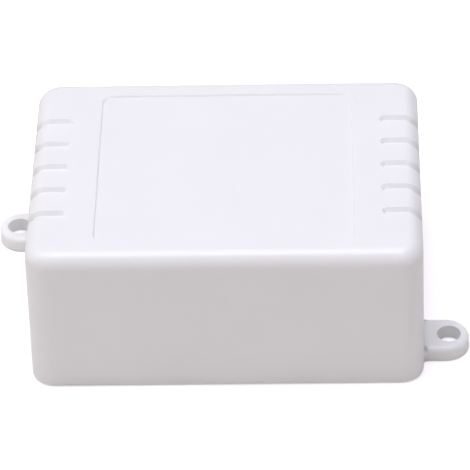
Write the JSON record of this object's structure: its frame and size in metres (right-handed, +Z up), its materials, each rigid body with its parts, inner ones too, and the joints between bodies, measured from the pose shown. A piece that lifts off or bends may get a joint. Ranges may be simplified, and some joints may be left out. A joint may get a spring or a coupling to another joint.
{
  "type": "time delay relay module",
  "caption": "White wall-mount box with two screw ears that holds a timer board, a relay and screw terminals, and switches a circuit after a set delay.",
  "frame": {"origin": "centre of the underside, where the box stands", "axes": "+X to the right along the long side, towards the front ear; +Y from the plain front to the wired rear; +Z up"},
  "size_m": [0.0864, 0.051, 0.0295],
  "materials": {
    "housing_plastic": "fine moulded texture, white ABS",
    "screw_steel": "zinc-plated steel",
    "board_laminate": "green solder mask over glass-epoxy",
    "terminal_plastic": "blue moulded polyamide",
    "tinned_metal": "tinned copper alloy and iron",
    "relay_plastic": "blue moulded polyester",
    "dark_plastic": "black moulded epoxy and nylon",
    "bobbin_plastic": "natural nylon",
    "copper_wire": "enamelled copper",
    "contact_brass": "copper alloy strip",
    "trimmer_plastic": "blue thermoset",
    "rotor_plastic": "white nylon",
    "green_lens": "tinted clear epoxy",
    "red_lens": "tinted clear epoxy",
    "can_sleeve": "shrink sleeve over an aluminium can"
  },
  "bodies": {
    "base": {"base_plate": "housing_plastic", "base_screws": "screw_steel", "board_screws": "screw_steel", "button_body": "dark_plastic", "button_leads": "tinned_metal", "chip_resistors": "dark_plastic", "circuit_board": "board_laminate", "closed_contact": "contact_brass", "driver_transistor": "dark_plastic", "filter_capacitor": "can_sleeve", "flyback_diode": "dark_plastic", "header_pins": "contact_brass", "input_contacts": "tinned_metal", "input_terminal_body": "terminal_plastic", "lamp_leads": "tinned_metal", "open_contact": "contact_brass", "output_contacts": "tinned_metal", "output_terminal_body": "terminal_plastic", "power_lamp": "green_lens", "range_header": "dark_plastic", "relay_base": "relay_plastic", "relay_bobbin": "bobbin_plastic", "relay_case": "relay_plastic", "relay_coil_pins": "tinned_metal", "relay_core": "tinned_metal", "relay_lamp": "red_lens", "relay_winding": "copper_wire", "relay_yoke": "tinned_metal", "supply_regulator": "dark_plastic", "timer_chip": "dark_plastic", "timer_chip_legs": "tinned_metal", "timing_capacitor": "can_sleeve", "trigger_isolator": "dark_plastic", "trigger_isolator_legs": "tinned_metal", "trimmer_body": "trimmer_plastic", "trimmer_leads": "tinned_metal"},
    "housing": {"housing_shell": "housing_plastic"},
    "armature": {"relay_armature": "tinned_metal", "contact_blade": "contact_brass"},
    "delay_rotor": {"trimmer_rotor": "rotor_plastic"},
    "start_plunger": {"button_plunger": "dark_plastic"},
    "jumper": {"range_jumper": "dark_plastic"},
    "input_clamp_screw_1": {"input_clamp_screw_1": "screw_steel"},
    "input_clamp_cage_1": {"input_clamp_cage_1": "tinned_metal"},
    "input_clamp_screw_2": {"input_clamp_screw_2": "screw_steel"},
    "input_clamp_cage_2": {"input_clamp_cage_2": "tinned_metal"},
    "input_clamp_screw_3": {"input_clamp_screw_3": "screw_steel"},
    "input_clamp_cage_3": {"input_clamp_cage_3": "tinned_metal"},
    "output_clamp_screw_1": {"output_clamp_screw_1": "screw_steel"},
    "output_clamp_cage_1": {"output_clamp_cage_1": "tinned_metal"},
    "output_clamp_screw_2": {"output_clamp_screw_2": "screw_steel"},
    "output_clamp_cage_2": {"output_clamp_cage_2": "tinned_metal"},
    "output_clamp_screw_3": {"output_clamp_screw_3": "screw_steel"},
    "output_clamp_cage_3": {"output_clamp_cage_3": "tinned_metal"}
  },
  "joints": [
    {"name": "housing_lift", "type": "slide", "parent": "base", "child": "housing", "axis": [0, 0, 1], "range_m": [0, 0.035]},
    {"name": "armature_pull", "type": "hinge", "parent": "base", "child": "armature", "pos_m": [-0.0226, -0.008, 0.0203], "axis": [0, 1, 0], "range_deg": [0, 3.5], "stiffness_Nm_per_rad": 0.02, "springref_deg": -5.73},
    {"name": "delay_set", "type": "hinge", "parent": "base", "child": "delay_rotor", "pos_m": [0.00908, 0.0227, 0.0106], "axis": [0, 1, 0], "range_deg": [-120, 120]},
    {"name": "start_press", "type": "slide", "parent": "base", "child": "start_plunger", "axis": [0, -1, 0], "range_m": [0, 0.00025], "stiffness_N_per_m": 2000, "springref_m": -0.0002},
    {"name": "jumper_pull", "type": "slide", "parent": "base", "child": "jumper", "axis": [0, 0, 1], "range_m": [0, 0.008]},
    {"name": "input_clamp_screw_1_turn", "type": "hinge", "parent": "base", "child": "input_clamp_screw_1", "pos_m": [-0.02316, 0.0192, 0.01575], "axis": [0, 0, -1], "range_deg": [0, 1080]},
    {"name": "input_clamp_cage_1_rise", "type": "slide", "parent": "base", "child": "input_clamp_cage_1", "axis": [0, 0, 1], "range_m": [0, 0.0015]},
    {"name": "input_clamp_screw_2_turn", "type": "hinge", "parent": "base", "child": "input_clamp_screw_2", "pos_m": [-0.01808, 0.0192, 0.01575], "axis": [0, 0, -1], "range_deg": [0, 1080]},
    {"name": "input_clamp_cage_2_rise", "type": "slide", "parent": "base", "child": "input_clamp_cage_2", "axis": [0, 0, 1], "range_m": [0, 0.0015]},
    {"name": "input_clamp_screw_3_turn", "type": "hinge", "parent": "base", "child": "input_clamp_screw_3", "pos_m": [-0.013, 0.0192, 0.01575], "axis": [0, 0, -1], "range_deg": [0, 1080]},
    {"name": "input_clamp_cage_3_rise", "type": "slide", "parent": "base", "child": "input_clamp_cage_3", "axis": [0, 0, 1], "range_m": [0, 0.0015]},
    {"name": "output_clamp_screw_1_turn", "type": "hinge", "parent": "base", "child": "output_clamp_screw_1", "pos_m": [-0.00752, 0.0192, 0.01575], "axis": [0, 0, -1], "range_deg": [0, 1080]},
    {"name": "output_clamp_cage_1_rise", "type": "slide", "parent": "base", "child": "output_clamp_cage_1", "axis": [0, 0, 1], "range_m": [0, 0.0015]},
    {"name": "output_clamp_screw_2_turn", "type": "hinge", "parent": "base", "child": "output_clamp_screw_2", "pos_m": [-0.00244, 0.0192, 0.01575], "axis": [0, 0, -1], "range_deg": [0, 1080]},
    {"name": "output_clamp_cage_2_rise", "type": "slide", "parent": "base", "child": "output_clamp_cage_2", "axis": [0, 0, 1], "range_m": [0, 0.0015]},
    {"name": "output_clamp_screw_3_turn", "type": "hinge", "parent": "base", "child": "output_clamp_screw_3", "pos_m": [0.00264, 0.0192, 0.01575], "axis": [0, 0, -1], "range_deg": [0, 1080]},
    {"name": "output_clamp_cage_3_rise", "type": "slide", "parent": "base", "child": "output_clamp_cage_3", "axis": [0, 0, 1], "range_m": [0, 0.0015]}
  ],
  "couplings": [
    {"joint": "input_clamp_screw_1_turn", "follows": "input_clamp_cage_1_rise", "rad_per_m": 12566},
    {"joint": "input_clamp_screw_2_turn", "follows": "input_clamp_cage_2_rise", "rad_per_m": 12566},
    {"joint": "input_clamp_screw_3_turn", "follows": "input_clamp_cage_3_rise", "rad_per_m": 12566},
    {"joint": "output_clamp_screw_1_turn", "follows": "output_clamp_cage_1_rise", "rad_per_m": 12566},
    {"joint": "output_clamp_screw_2_turn", "follows": "output_clamp_cage_2_rise", "rad_per_m": 12566},
    {"joint": "output_clamp_screw_3_turn", "follows": "output_clamp_cage_3_rise", "rad_per_m": 12566}
  ]
}
